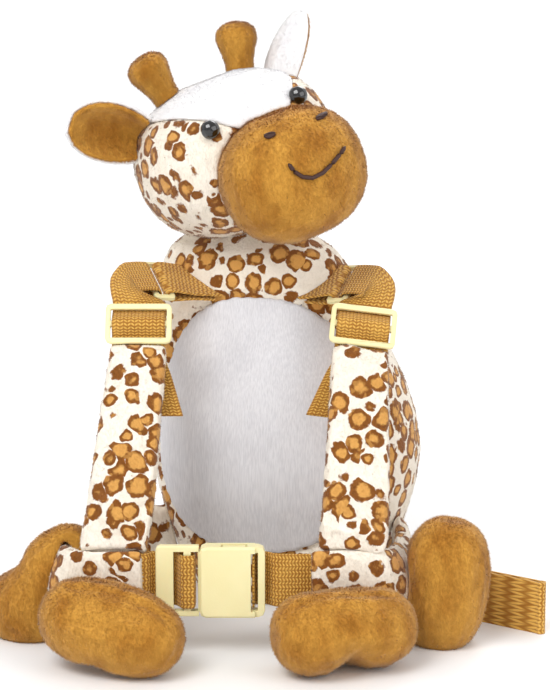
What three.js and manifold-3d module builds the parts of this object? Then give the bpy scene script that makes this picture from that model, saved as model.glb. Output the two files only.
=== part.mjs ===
// Toddler harness backpack: a sitting plush giraffe with shoulder sleeves, a waist belt and a tether.
// Millimetres, +Z up, seen from -Y. Left and right are the viewer's.
import * as THREE from "three";
import { mergeVertices } from "three/addons/utils/BufferGeometryUtils.js";
import Module from "manifold-3d";

const wasm = await Module();
wasm.setup();

// Clearances and cloth
const GAP = 0.3;
const CLOTH = 2.4;
const WEB_THICK = 1.2;
const WEB_WIDTH = 25;
const WEB_ROOM = 0.35;
const WELD = 0.02;

// Body
const BODY_WIDTH = 138;
const BODY_DEPTH = 118;
const BODY_HEIGHT = 188;
const BODY_X = 6;
const BODY_Y = 80;
const BODY_TURN = -20;
const BODY_ROUND = 2.25;
const BELLY_WIDTH = 109;
const BELLY_TOP = 155;
const BELLY_WIDEST = 74;
const BELLY_FOOT = 28;

// Back pocket
const POCKET_WIDTH = 92;
const POCKET_TOP = 130;
const POCKET_FOOT = 42;
const POCKET_DEPTH = 34;
const POCKET_WALL = 3;
const POCKET_LEDGE = 5;
const ZIP_HEIGHT = 8;

// Head
const HEAD_WIDTH = 95;
const HEAD_LENGTH = 100;
const HEAD_HEIGHT = 77;
const HEAD_YAW = 27;
const HEAD_ROLL = -20;
const HEAD_ROUND = 2.3;
const HEAD_ASIDE = -26;
const HEAD_AHEAD = 20;
const HEAD_ABOVE = 33;
const MUZZLE_WIDTH = 71;
const MUZZLE_HEIGHT = 61;
const MUZZLE_DEPTH = 54;
const MUZZLE_FORWARD = 52;
const MUZZLE_DROP = 15.5;
const MUZZLE_ASIDE = 1;
const CROWN_WIDTH = 84;
const CROWN_EDGE = 33;
const CROWN_POINT = -2;
const CROWN_BACK = 16;
const EYE_SIZE = 9.4;
const EYE_ANGLE = 29;
const EYE_TURN = -3;
const EYE_HEIGHT = 17;

// Ears and ossicones
const EAR_LENGTH = 38;
const EAR_WIDTH = 29;
const EAR_CUP = 10;
const EAR_LAYER = 2;
const EAR_SIDE = 40;
const EAR_UP = 21;
const KNOB_LENGTH = 26.5;
const KNOB_WIDTH = 21;
const KNOB_LEAN = 15;
const KNOB_SIDE = 20;

// Shoulder sleeves
const ARM_WIDTH = 31;
const ARM_THICK = 15;
const ARM_FOOT_Z = 47;
const ARM_BOW = 3;

// Sliders, rings and shoulder webbing
const SLIDER_WIDTH = 31;
const SLIDER_HEIGHT = 19.5;
const SLIDER_THICK = 2.4;
const SLIDER_BAR = 2.8;
const SLIDER_LEAN = 27;
const RING_WIDTH = 31;
const RING_LENGTH = 10.5;
const RING_WIRE = 2.4;
const TAB_REACH = 30;
const LOOP_OUT = 9;
const TAIL_LENGTH = 32;

// Belt, buckle and tether
const BELT_Z = 35.2;
const BELT_Y = -37;
const SLEEVE_HEIGHT = 29;
const SLEEVE_THICK = 7;
const LEFT_CORNER_X = -101;
const RIGHT_CORNER_X = 58;
const LEFT_SLEEVE_END = -60;
const RIGHT_SLEEVE_END = 17;
const BUCKLE_X = -54;
const BUCKLE_HEIGHT = 33;
const MALE_LENGTH = 19.5;
const FEMALE_LENGTH = 30;
const FEMALE_THICK = 9.5;
const MALE_THICK = 4;
const BUCKLE_BAR = 3.2;
const MALE_BAR = 8;
const MALE_SLOT = 4.7;
const MALE_LAP = 2.4;
const FEMALE_WALL = 2.2;
const FEMALE_BLOCK = 8;
const BAR_NOTCH = 1.2;
const BAR_LIP = 0.6;
const WINDOW_LENGTH = 12;
const PRONG_THICK = 3.2;
const PRONG_SHORT = 9;
const PRONG_IN = 9;
const PRONG_OUT = 12.5;
const HOOK_LENGTH = 10;
const HOOK_OUT = 16;
const GUIDE_WIDTH = 5;
const WEB_EASE = 0.4;
const SLEEVE_MOUTH = 9;
const TETHER_REACH = 126;
const TETHER_END_Y = -6;
const TETHER_SPREAD = 1.3;

// Hooves
const HOOF_LENGTH = 68;
const HOOF_WIDTH = 38;
const HOOF_HEIGHT = 40;
const HOOF_CLEFT = 0.36;
const CLEFT_SPREAD = 0.12;

const CLOTH_SPOTTED = { color: 0xe6c79c, roughness: 0.95, metalness: 0 };
const CLOTH_BROWN = { color: 0xb57a2a, roughness: 0.95, metalness: 0 };
const CLOTH_WHITE = { color: 0xececec, roughness: 0.95, metalness: 0 };
const CLOTH_GREY = { color: 0xc9c9ca, roughness: 0.95, metalness: 0 };
const WEBBING = { color: 0xc08a2c, roughness: 0.8, metalness: 0 };
const PLASTIC = { color: 0xe9dfa6, roughness: 0.35, metalness: 0 };
const EYE_BLACK = { color: 0x0b0b0b, roughness: 0.12, metalness: 0 };

// The two sides of the harness. ring: share of the body's height, degrees round it from the front and
// millimetres out from its skin. slider: place from the ring. foot: share of the way from the sleeve's
// mouth to its corner. tilt in degrees and tail, how far aside the free end hangs, in millimetres.
const SIDES = {
  left: {
    ring: { up: 0.856, angle: -38.8, out: 19.4 }, slider: [-7, -30, -16], tilt: 0,
    end: LEFT_SLEEVE_END, corner: LEFT_CORNER_X, foot: 0.34, tail: 8.5, inward: 1,
  },
  right: {
    ring: { up: 0.851, angle: 71.2, out: 7.3 }, slider: [7.5, -26, -16], tilt: 7,
    end: RIGHT_SLEEVE_END, corner: RIGHT_CORNER_X, foot: 0.44, tail: 10, inward: -1,
  },
};

// Body sections: every share is of the body's height, width, depth or half width
const BODY_SECTIONS = [
  { up: 0.0, wide: 0.6, deep: 0.7, sideways: 0.0, back: 0.0 },
  { up: 0.03, wide: 0.7, deep: 0.82, sideways: 0.0, back: 0.0 },
  { up: 0.12, wide: 0.8, deep: 0.92, sideways: 0.0, back: 0.0 },
  { up: 0.23, wide: 0.905, deep: 0.98, sideways: 0.0, back: 0.0 },
  { up: 0.36, wide: 0.985, deep: 1.0, sideways: 0.0, back: 0.0 },
  { up: 0.5, wide: 0.965, deep: 0.94, sideways: -0.03, back: -0.01 },
  { up: 0.64, wide: 0.86, deep: 0.8, sideways: -0.085, back: -0.05 },
  { up: 0.77, wide: 0.76, deep: 0.63, sideways: -0.16, back: -0.1 },
  { up: 0.86, wide: 0.71, deep: 0.53, sideways: -0.22, back: -0.13 },
  { up: 0.93, wide: 0.6, deep: 0.41, sideways: -0.25, back: -0.16 },
  { up: 0.98, wide: 0.36, deep: 0.22, sideways: -0.26, back: -0.16 },
  { up: 1.0, wide: 0.08, deep: 0.06, sideways: -0.26, back: -0.16 },
];

// How each ear hangs, in degrees: lean out from upright, twist of its opening towards the front
const EARS = {
  left: { side: -1, lean: 57, twist: 65 },
  right: { side: 1, lean: 36, twist: -2 },
};

// Ear outline from root to tip: share of the half width and of the cup
const EAR_SECTIONS = [
  { along: 0, wide: 0.7, cup: 0.9 },
  { along: 0.2, wide: 0.9, cup: 1 },
  { along: 0.45, wide: 1, cup: 0.9 },
  { along: 0.7, wide: 0.93, cup: 0.65 },
  { along: 0.9, wide: 0.66, cup: 0.3 },
  { along: 1, wide: 0.34, cup: 0.1 },
];

// Ossicone from its foot to its rounded top: shares of the length and of the half width
const KNOB_SECTIONS = [
  { along: 0, wide: 0.66 },
  { along: 0.25, wide: 0.66 },
  { along: 0.5, wide: 0.83 },
  { along: 0.68, wide: 0.98 },
  { along: 0.84, wide: 0.93 },
  { along: 0.95, wide: 0.62 },
];

const radians = THREE.MathUtils.degToRad;
const UP = new THREE.Vector3(0, 0, 1);

function power(value, exponent) {
  return Math.sign(value) * Math.abs(value) ** exponent;
}

// Shell of points and triangles, turned so that its faces point out
function shellOf(points, faces) {
  let volume = 0;
  const cross = new THREE.Vector3();
  for (const [a, b, c] of faces) {
    volume += points[a].dot(cross.crossVectors(points[b], points[c]));
  }
  const index = faces.flatMap(([a, b, c]) => (volume > 0 ? [a, b, c] : [a, c, b]));
  const geometry = new THREE.BufferGeometry();
  geometry.setAttribute("position", new THREE.Float32BufferAttribute(points.flatMap((p) => p.toArray()), 3));
  geometry.setIndex(index);
  return geometry;
}

// Closed skin through rings of equally many points, each end closed by a fan
function skinThrough(rings) {
  const count = rings[0].length;
  const points = rings.flat();
  const faces = [];
  for (let row = 0; row < rings.length - 1; row++) {
    for (let j = 0; j < count; j++) {
      const a = row * count + j;
      const b = row * count + ((j + 1) % count);
      faces.push([a, b, b + count], [a, b + count, a + count]);
    }
  }
  const middle = (ring) => ring.reduce((sum, p) => sum.add(p), new THREE.Vector3()).divideScalar(count);
  const last = (rings.length - 1) * count;
  const first = points.push(middle(rings[0])) - 1;
  const end = points.push(middle(rings[rings.length - 1])) - 1;
  for (let j = 0; j < count; j++) {
    const k = (j + 1) % count;
    faces.push([first, k, j], [end, last + j, last + k]);
  }
  return shellOf(points, faces);
}

// Sheet of cloth over a grid surface, from low to high along the surface's normal
function sheetOver(surface, rows, columns, low, high) {
  const points = [];
  const step = 1e-3;
  for (const height of [low, high]) {
    for (let i = 0; i <= rows; i++) {
      for (let j = 0; j <= columns; j++) {
        const u = i / rows;
        const v = j / columns;
        const at = surface(u, v);
        const along = surface(u + step, v).sub(surface(u - step, v));
        const across = surface(u, v + step).sub(surface(u, v - step));
        points.push(at.addScaledVector(along.cross(across).normalize(), height));
      }
    }
  }
  const stride = columns + 1;
  const layer = (rows + 1) * stride;
  const faces = [];
  for (let i = 0; i < rows; i++) {
    for (let j = 0; j < columns; j++) {
      const a = i * stride + j;
      const quad = [a, a + 1, a + stride + 1, a + stride];
      faces.push([quad[0], quad[2], quad[1]], [quad[0], quad[3], quad[2]]);
      faces.push([quad[0] + layer, quad[1] + layer, quad[2] + layer]);
      faces.push([quad[0] + layer, quad[2] + layer, quad[3] + layer]);
    }
  }
  const rim = [];
  for (let j = 0; j < columns; j++) rim.push(j);
  for (let i = 0; i < rows; i++) rim.push(i * stride + columns);
  for (let j = columns; j > 0; j--) rim.push(rows * stride + j);
  for (let i = rows; i > 0; i--) rim.push(i * stride);
  rim.forEach((a, n) => {
    const b = rim[(n + 1) % rim.length];
    faces.push([a, b, b + layer], [a, b + layer, a + layer]);
  });
  return shellOf(points, faces);
}

// Superellipse outline of unit half sizes
function oval(count, exponent) {
  return Array.from({ length: count }, (_, k) => {
    const angle = (2 * Math.PI * k) / count;
    return [power(Math.cos(angle), 2 / exponent), power(Math.sin(angle), 2 / exponent)];
  });
}

const FLAT_WEB = [[1, 1], [-1, 1], [-1, -1], [1, -1]];

// Solid swept along stations { at, across, wide, thick }; wide and thick are half sizes
function sweep(stations, outline, grow = 0) {
  const rings = stations.map((station, i) => {
    const leg = (from, to) => stations[to].at.clone().sub(stations[from].at).normalize();
    const last = stations.length - 1;
    const arriving = leg(Math.max(i - 1, 0), Math.max(i, 1));
    const leaving = leg(Math.min(i, last - 1), Math.min(i + 1, last));
    const along = arriving.clone().add(leaving).normalize();
    const bend = Math.max(along.dot(leaving), 0.7);
    const normal = along.clone().cross(station.across).normalize();
    const across = station.across;
    let end = 0;
    if (i === 0) end = -grow;
    if (i === last) end = grow;
    return outline.map(([a, b]) => station.at.clone()
      .addScaledVector(along, end)
      .addScaledVector(across, a * (station.wide + grow))
      .addScaledVector(normal, (b * (station.thick + grow)) / bend));
  });
  return skinThrough(rings);
}

// Stations on a smooth curve through the given ones
function smoothed(stations, count) {
  const curve = (pick) => new THREE.CatmullRomCurve3(stations.map(pick), false, "centripetal");
  const at = curve((s) => s.at);
  const across = new THREE.CatmullRomCurve3(stations.map((s) => s.across), false, "catmullrom", 0.3);
  const size = new THREE.CatmullRomCurve3(
    stations.map((s) => new THREE.Vector3(s.wide, s.thick, 0)), false, "catmullrom", 0.3);
  return Array.from({ length: count }, (_, i) => {
    const t = i / (count - 1);
    const { x, y } = size.getPoint(t);
    return { at: at.getPoint(t), across: across.getPoint(t).normalize(), wide: x, thick: y };
  });
}

// Superellipsoid with its poles on Z
function ball(wide, deep, high, exponent, rows, count, grow = 0) {
  const outline = oval(count, exponent);
  const rings = [];
  for (let i = 1; i < rows; i++) {
    const angle = -Math.PI / 2 + (Math.PI * i) / rows;
    const reach = power(Math.cos(angle), 2 / exponent);
    const z = power(Math.sin(angle), 2 / exponent) * (high / 2 + grow);
    rings.push(outline.map(([a, b]) => new THREE.Vector3(
      a * reach * (wide / 2 + grow), b * reach * (deep / 2 + grow), z)));
  }
  return skinThrough(rings);
}

function plate(shape, thick, bevel = 0) {
  const settings = { depth: thick - 2 * bevel, bevelEnabled: bevel > 0, bevelThickness: bevel };
  const geometry = new THREE.ExtrudeGeometry(shape, {
    ...settings, bevelSize: bevel, bevelOffset: -bevel, bevelSegments: 1, curveSegments: 1 });
  return geometry.translate(0, 0, -thick / 2 + bevel);
}

// Rectangle with round corners, its middle at x, y
function roundedBox(width, height, corner, x = 0, y = 0) {
  const shape = new THREE.Shape();
  const right = x + width / 2 - corner;
  const left = x - width / 2 + corner;
  const top = y + height / 2 - corner;
  const low = y - height / 2 + corner;
  shape.absarc(right, low, corner, -Math.PI / 2, 0);
  shape.absarc(right, top, corner, 0, Math.PI / 2);
  shape.absarc(left, top, corner, Math.PI / 2, Math.PI);
  shape.absarc(left, low, corner, Math.PI, 1.5 * Math.PI);
  return shape;
}

function block(x0, x1, y0, y1, z0, z1) {
  const geometry = new THREE.BoxGeometry(x1 - x0, y1 - y0, z1 - z0);
  return geometry.translate((x0 + x1) / 2, (y0 + y1) / 2, (z0 + z1) / 2);
}

function toSolid(geometry) {
  const bare = geometry.clone();
  for (const name of Object.keys(bare.attributes)) {
    if (name !== "position") bare.deleteAttribute(name);
  }
  const merged = mergeVertices(bare, 1e-4);
  const vertProperties = new Float32Array(merged.getAttribute("position").array);
  const triVerts = new Uint32Array(merged.index.array);
  return new wasm.Manifold(new wasm.Mesh({ numProp: 3, vertProperties, triVerts }));
}

// Geometry of a cut solid, with the shortest edges that a cut leaves drawn together
function toGeometry(solid) {
  const mesh = solid.getMesh();
  const corner = (i) => new THREE.Vector3().fromArray(mesh.vertProperties, 3 * i);
  const joinedTo = Array.from({ length: mesh.vertProperties.length / 3 }, (_, i) => i);
  const rootOf = (i) => (joinedTo[i] === i ? i : rootOf(joinedTo[i]));
  const triangles = Array.from({ length: mesh.triVerts.length / 3 }, (_, t) => (
    Array.from(mesh.triVerts.subarray(3 * t, 3 * t + 3))));
  for (const [a, b, c] of triangles) {
    for (const [i, j] of [[a, b], [b, c], [c, a]]) {
      if (corner(i).distanceTo(corner(j)) < WELD) joinedTo[rootOf(i)] = rootOf(j);
    }
  }
  const faces = triangles.map((face) => face.map(rootOf)).filter(([a, b, c]) => a !== b && b !== c && c !== a);
  const used = [...new Set(faces.flat())];
  const place = new Map(used.map((vertex, i) => [vertex, i]));
  const geometry = new THREE.BufferGeometry();
  geometry.setAttribute("position", new THREE.Float32BufferAttribute(used.flatMap((i) => corner(i).toArray()), 3));
  geometry.setIndex(faces.flat().map((vertex) => place.get(vertex)));
  return geometry;
}

function less(geometry, ...cutters) {
  return toGeometry(cutters.reduce((solid, cutter) => solid.subtract(toSolid(cutter)), toSolid(geometry)));
}

function common(geometry, other) {
  return toGeometry(toSolid(geometry).intersect(toSolid(other)));
}

function joined(...geometries) {
  return toGeometry(geometries.map(toSolid).reduce((sum, solid) => sum.add(solid)));
}

// Body, in a frame turned with it: its middle on the floor at the origin, its belly to -Y
const bodyFrame = new THREE.Matrix4()
  .makeTranslation(BODY_X, BODY_Y, 0)
  .multiply(new THREE.Matrix4().makeRotationZ(radians(BODY_TURN)));

function bodySections() {
  const turn = radians(BODY_TURN);
  const curve = new THREE.CatmullRomCurve3(
    BODY_SECTIONS.map((s) => new THREE.Vector3(s.wide, s.deep, s.up)), false, "centripetal");
  const lean = new THREE.CatmullRomCurve3(
    BODY_SECTIONS.map((s) => new THREE.Vector3(s.sideways, s.back, s.up)), false, "centripetal");
  const rows = 17;
  return Array.from({ length: rows }, (_, i) => {
    const size = curve.getPoint(i / (rows - 1));
    const shift = lean.getPoint(i / (rows - 1));
    const x = (shift.x * BODY_WIDTH) / 2;
    const y = (shift.y * BODY_WIDTH) / 2;
    return {
      x: x * Math.cos(turn) + y * Math.sin(turn),
      y: y * Math.cos(turn) - x * Math.sin(turn),
      z: size.z * BODY_HEIGHT,
      wide: (size.x * BODY_WIDTH) / 2,
      deep: (size.y * BODY_DEPTH) / 2,
    };
  });
}

function bodySkin(grow = 0) {
  const outline = oval(28, BODY_ROUND);
  const rings = bodySections().map((s, i, all) => {
    let z = s.z;
    if (i === 0) z -= grow;
    if (i === all.length - 1) z += grow;
    return outline.map(([a, b]) => new THREE.Vector3(
      s.x + a * Math.max(s.wide + grow, 1), s.y + b * Math.max(s.deep + grow, 1), z));
  });
  return skinThrough(rings);
}

// Distance from the middle to a superellipse of half sizes wide and deep, towards x, y
function ovalReach(x, y, wide, deep, exponent) {
  return (Math.abs(x / wide) ** exponent + Math.abs(y / deep) ** exponent) ** (-1 / exponent);
}

// Place beside the body, out from its skin
function besideBody({ up, angle, out }) {
  const sections = bodySections();
  const z = up * BODY_HEIGHT;
  const above = sections.findIndex((s) => s.z >= z);
  const [low, high] = [sections[above - 1], sections[above]];
  const at = (key) => THREE.MathUtils.mapLinear(z, low.z, high.z, low[key], high[key]);
  const x = Math.sin(radians(angle));
  const y = -Math.cos(radians(angle));
  const reach = ovalReach(x, y, at("wide"), at("deep"), BODY_ROUND) + out;
  return new THREE.Vector3(at("x") + x * reach, at("y") + y * reach, z).applyMatrix4(bodyFrame);
}

// Prism along Y from one depth to another over an outline in X and Z
function prism(shape, from, to) {
  const geometry = new THREE.ExtrudeGeometry(shape, { depth: to - from, bevelEnabled: false, curveSegments: 3 });
  return geometry.rotateX(Math.PI / 2).translate(0, to, 0);
}

function bellyOutline(grow) {
  const shape = new THREE.Shape();
  const points = oval(26, 2.4).map(([a, b]) => new THREE.Vector2(
    a * (BELLY_WIDTH / 2 + grow),
    BELLY_WIDEST + b * ((b > 0 ? BELLY_TOP - BELLY_WIDEST : BELLY_WIDEST - BELLY_FOOT) + grow)));
  shape.setFromPoints(points);
  return shape;
}

const pocketOutline = (foot, top, width) => roundedBox(width, top - foot, 7, 0, (top + foot) / 2);

const bellyBlock = (grow) => prism(bellyOutline(grow), -BODY_DEPTH, 0);
const pocketBlock = (grow) => prism(
  pocketOutline(POCKET_FOOT - grow, POCKET_TOP + grow, POCKET_WIDTH + 2 * grow), 0, BODY_DEPTH);

function bodyPieces() {
  const cavityRoom = common(
    bodySkin(-POCKET_WALL),
    prism(pocketOutline(POCKET_FOOT + POCKET_LEDGE, POCKET_TOP - POCKET_LEDGE / 2,
      POCKET_WIDTH - 2 * POCKET_LEDGE), BODY_DEPTH / 2 - POCKET_WALL - POCKET_DEPTH, BODY_DEPTH));
  const bellySeat = less(bellyBlock(GAP), bodySkin(-CLOTH - GAP));
  const pocketSeat = less(pocketBlock(GAP), bodySkin(-POCKET_WALL - GAP));
  const backSkin = less(bodySkin(0), bodySkin(-POCKET_WALL));
  const zipFoot = POCKET_TOP - ZIP_HEIGHT;
  const below = block(-BODY_WIDTH, BODY_WIDTH, 0, BODY_DEPTH, 0, zipFoot - GAP);
  const above = block(-BODY_WIDTH, BODY_WIDTH, 0, BODY_DEPTH, zipFoot, BODY_HEIGHT);
  const backPatch = common(backSkin, pocketBlock(0));
  return {
    body: less(bodySkin(0), bellySeat, pocketSeat, cavityRoom),
    belly_panel: common(less(bodySkin(0), bodySkin(-CLOTH)), bellyBlock(0)),
    pocket_panel: common(backPatch, below),
    pocket_zip: common(backPatch, above),
  };
}

// Head, in its own frame: its middle at the origin, its face to -Y
const headFrame = new THREE.Matrix4()
  .makeTranslation(BODY_X + HEAD_ASIDE, BODY_Y - HEAD_AHEAD, BODY_HEIGHT + HEAD_ABOVE)
  .multiply(new THREE.Matrix4().makeRotationY(radians(HEAD_ROLL)))
  .multiply(new THREE.Matrix4().makeRotationZ(radians(HEAD_YAW)));

const headSkin = (grow = 0) => ball(HEAD_WIDTH, HEAD_LENGTH, HEAD_HEIGHT, HEAD_ROUND, 13, 24, grow);

function muzzleSkin(grow = 0) {
  const skin = ball(MUZZLE_WIDTH, MUZZLE_DEPTH, MUZZLE_HEIGHT, 2.25, 11, 20, grow);
  return skin.translate(MUZZLE_ASIDE, -MUZZLE_FORWARD, -MUZZLE_DROP);
}

function crownBlock(grow) {
  const shape = new THREE.Shape();
  const side = CROWN_WIDTH / 2 + grow;
  shape.moveTo(-side, CROWN_EDGE - grow);
  shape.quadraticCurveTo(-side / 3, CROWN_EDGE / 2 - grow, 0, CROWN_POINT - grow);
  shape.quadraticCurveTo(side / 3, CROWN_EDGE / 2 - grow, side, CROWN_EDGE - grow);
  shape.lineTo(side, HEAD_HEIGHT);
  shape.lineTo(-side, HEAD_HEIGHT);
  shape.closePath();
  return prism(shape, -HEAD_LENGTH, CROWN_BACK + grow);
}

function onHead(angle, height, out) {
  const level = (1 - Math.abs((2 * height) / HEAD_HEIGHT) ** HEAD_ROUND) ** (1 / HEAD_ROUND);
  const x = Math.sin(angle);
  const y = -Math.cos(angle);
  const radius = level * ovalReach(x, y, HEAD_WIDTH / 2, HEAD_LENGTH / 2, HEAD_ROUND);
  return new THREE.Vector3(x * (radius + out), y * (radius + out), height);
}

function eye(side) {
  const at = onHead(radians(side * EYE_ANGLE + EYE_TURN), EYE_HEIGHT, EYE_SIZE / 8);
  const bead = ball(EYE_SIZE, EYE_SIZE, EYE_SIZE, 2, 7, 10).translate(at.x, at.y, at.z);
  return less(bead, headSkin(GAP));
}

function ear({ side, lean, twist }, low, high) {
  const rows = EAR_SECTIONS.map((s) => new THREE.Vector3(s.wide, s.cup, s.along));
  const curve = new THREE.CatmullRomCurve3(rows, false, "centripetal");
  const surface = (u, v) => {
    const { x: wide, y: cup, z: along } = curve.getPoint(Math.min(Math.max(u, 0), 1));
    const t = 2 * v - 1;
    return new THREE.Vector3(-cup * EAR_CUP * (1 - t * t), (t * wide * EAR_WIDTH) / 2, along * EAR_LENGTH);
  };
  const leaf = sheetOver(surface, 8, 6, low, high);
  leaf.rotateZ(radians(-twist)).rotateY(radians(lean)).translate(EAR_SIDE, 4, EAR_UP);
  if (side < 0) leaf.scale(-1, 1, 1);
  return less(side < 0 ? turnedOut(leaf) : leaf, headSkin(GAP));
}

// Mirrored geometry with its faces turned out again
function turnedOut(geometry) {
  const index = geometry.index.array;
  for (let i = 0; i < index.length; i += 3) {
    [index[i + 1], index[i + 2]] = [index[i + 2], index[i + 1]];
  }
  return geometry;
}

function knob(side) {
  const profile = [new THREE.Vector2(0, 0)];
  for (const s of KNOB_SECTIONS) {
    profile.push(new THREE.Vector2((s.wide * KNOB_WIDTH) / 2, s.along * KNOB_LENGTH));
  }
  profile.push(new THREE.Vector2(0, KNOB_LENGTH));
  const lathe = new THREE.LatheGeometry(profile, 11).rotateX(Math.PI / 2);
  lathe.rotateY(radians(side * KNOB_LEAN)).translate(side * KNOB_SIDE, 5, HEAD_HEIGHT / 2 - 5);
  return less(lathe, headSkin(GAP));
}

function headPieces() {
  const toHead = headFrame.clone().invert();
  const neck = bodySkin(GAP).applyMatrix4(bodyFrame).applyMatrix4(toHead);
  const crownSeat = less(crownBlock(GAP), headSkin(-CLOTH - GAP));
  return {
    head: less(headSkin(), neck, muzzleSkin(GAP), crownSeat),
    crown_panel: less(common(less(headSkin(), headSkin(-CLOTH)), crownBlock(0)), muzzleSkin(GAP)),
    muzzle: less(muzzleSkin(), neck),
    eye_left: eye(-1),
    eye_right: eye(1),
    ear_left_back: ear(EARS.left, GAP / 2, EAR_LAYER + GAP / 2),
    ear_left_inner: ear(EARS.left, -EAR_LAYER - GAP / 2, -GAP / 2),
    ear_right_back: ear(EARS.right, GAP / 2, EAR_LAYER + GAP / 2),
    ear_right_inner: ear(EARS.right, -EAR_LAYER - GAP / 2, -GAP / 2),
    ossicone_left: knob(-1),
    ossicone_right: knob(1),
  };
}

// Place and direction helpers for webbing
const vector = (x, y, z) => new THREE.Vector3(x, y, z);

function webStation(at, across) {
  return { at, across, wide: WEB_WIDTH / 2, thick: WEB_THICK / 2 };
}

// Half circle round a bar: from one face of the webbing to the other
function roundBar(middle, ahead, out, across, radius) {
  return [75, 45, 15, -15, -45, -75].map((angle) => webStation(
    middle.clone()
      .addScaledVector(ahead, radius * Math.cos(radians(angle)))
      .addScaledVector(out, radius * Math.sin(radians(angle))), across));
}

const barClear = (bar) => bar / 2 + WEB_ROOM + WEB_THICK / 2;
const turnClear = (bar) => bar * Math.SQRT1_2 + WEB_ROOM + WEB_THICK / 2;

// Frame of one slider: across it, up the strap and out to the front
function sliderFrame({ ring: ringAt, slider: from, tilt }) {
  const across = vector(1, 0, 0).applyAxisAngle(vector(0, 1, 0), radians(tilt));
  const lean = radians(SLIDER_LEAN);
  const out = vector(0, -Math.cos(lean), Math.sin(lean));
  const up = out.clone().cross(across).normalize();
  const at = besideBody(ringAt).add(vector(...from));
  return { across, up, out, place: (s, n) => at.clone().addScaledVector(up, s).addScaledVector(out, n) };
}

// Frame of one ring: along its bars, towards the body and out
function ringFrame({ ring: ringAt, inward }) {
  const ahead = vector(0.9 * inward, 0.4, -0.1).normalize();
  const across = vector(0, -0.92, -0.38);
  across.addScaledVector(ahead, -across.dot(ahead)).normalize().multiplyScalar(inward);
  const out = across.clone().cross(ahead).normalize();
  return { ahead, across, out, at: besideBody(ringAt) };
}

// Cutter for a slot a little wider than the webbing, from one height to another
function slotCut(low, high) {
  const half = WEB_WIDTH / 2 + 2 * WEB_ROOM;
  return block(-half, half, low, high, -SLIDER_THICK, SLIDER_THICK);
}

function slider(side) {
  const { across, up, out, place } = sliderFrame(side);
  const frame = plate(roundedBox(SLIDER_WIDTH, SLIDER_HEIGHT, 2.5), SLIDER_THICK, 0.5);
  const inner = SLIDER_BAR / 2;
  const outer = SLIDER_HEIGHT / 2 - SLIDER_BAR;
  const basis = new THREE.Matrix4().makeBasis(across, up, out).setPosition(place(0, 0));
  return less(frame, slotCut(inner, outer), slotCut(-outer, -inner)).applyMatrix4(basis);
}

function ring(side) {
  const { ahead, across, out, at } = ringFrame(side);
  const half = RING_LENGTH / 2 - RING_WIRE;
  const loop = less(plate(roundedBox(RING_WIDTH, RING_LENGTH, 2), RING_WIRE, 0.5), slotCut(-half, half));
  const basis = new THREE.Matrix4().makeBasis(across, ahead, out).setPosition(at);
  return loop.applyMatrix4(basis);
}

function ringTab(side) {
  const { ahead, across, out, at } = ringFrame(side);
  const bar = at.clone().addScaledVector(ahead, (RING_LENGTH - RING_WIRE) / 2);
  const radius = turnClear(RING_WIRE);
  const inBody = bar.clone().addScaledVector(ahead, TAB_REACH);
  const back = ahead.clone().negate();
  const leg = (sign, reach, close) => webStation(
    bar.clone().lerp(inBody, reach).addScaledVector(out, sign * radius * close), across);
  const stations = [
    leg(1, 1, 0.5), leg(1, 0.4, 0.5), leg(1, 0.08, 0.95),
    ...roundBar(bar, back, out, across, radius),
    leg(-1, 0.08, 0.95), leg(-1, 0.4, 0.5), leg(-1, 1, 0.5),
  ];
  return less(sweep(stations, FLAT_WEB), bodySkin(GAP).applyMatrix4(bodyFrame));
}

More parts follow.
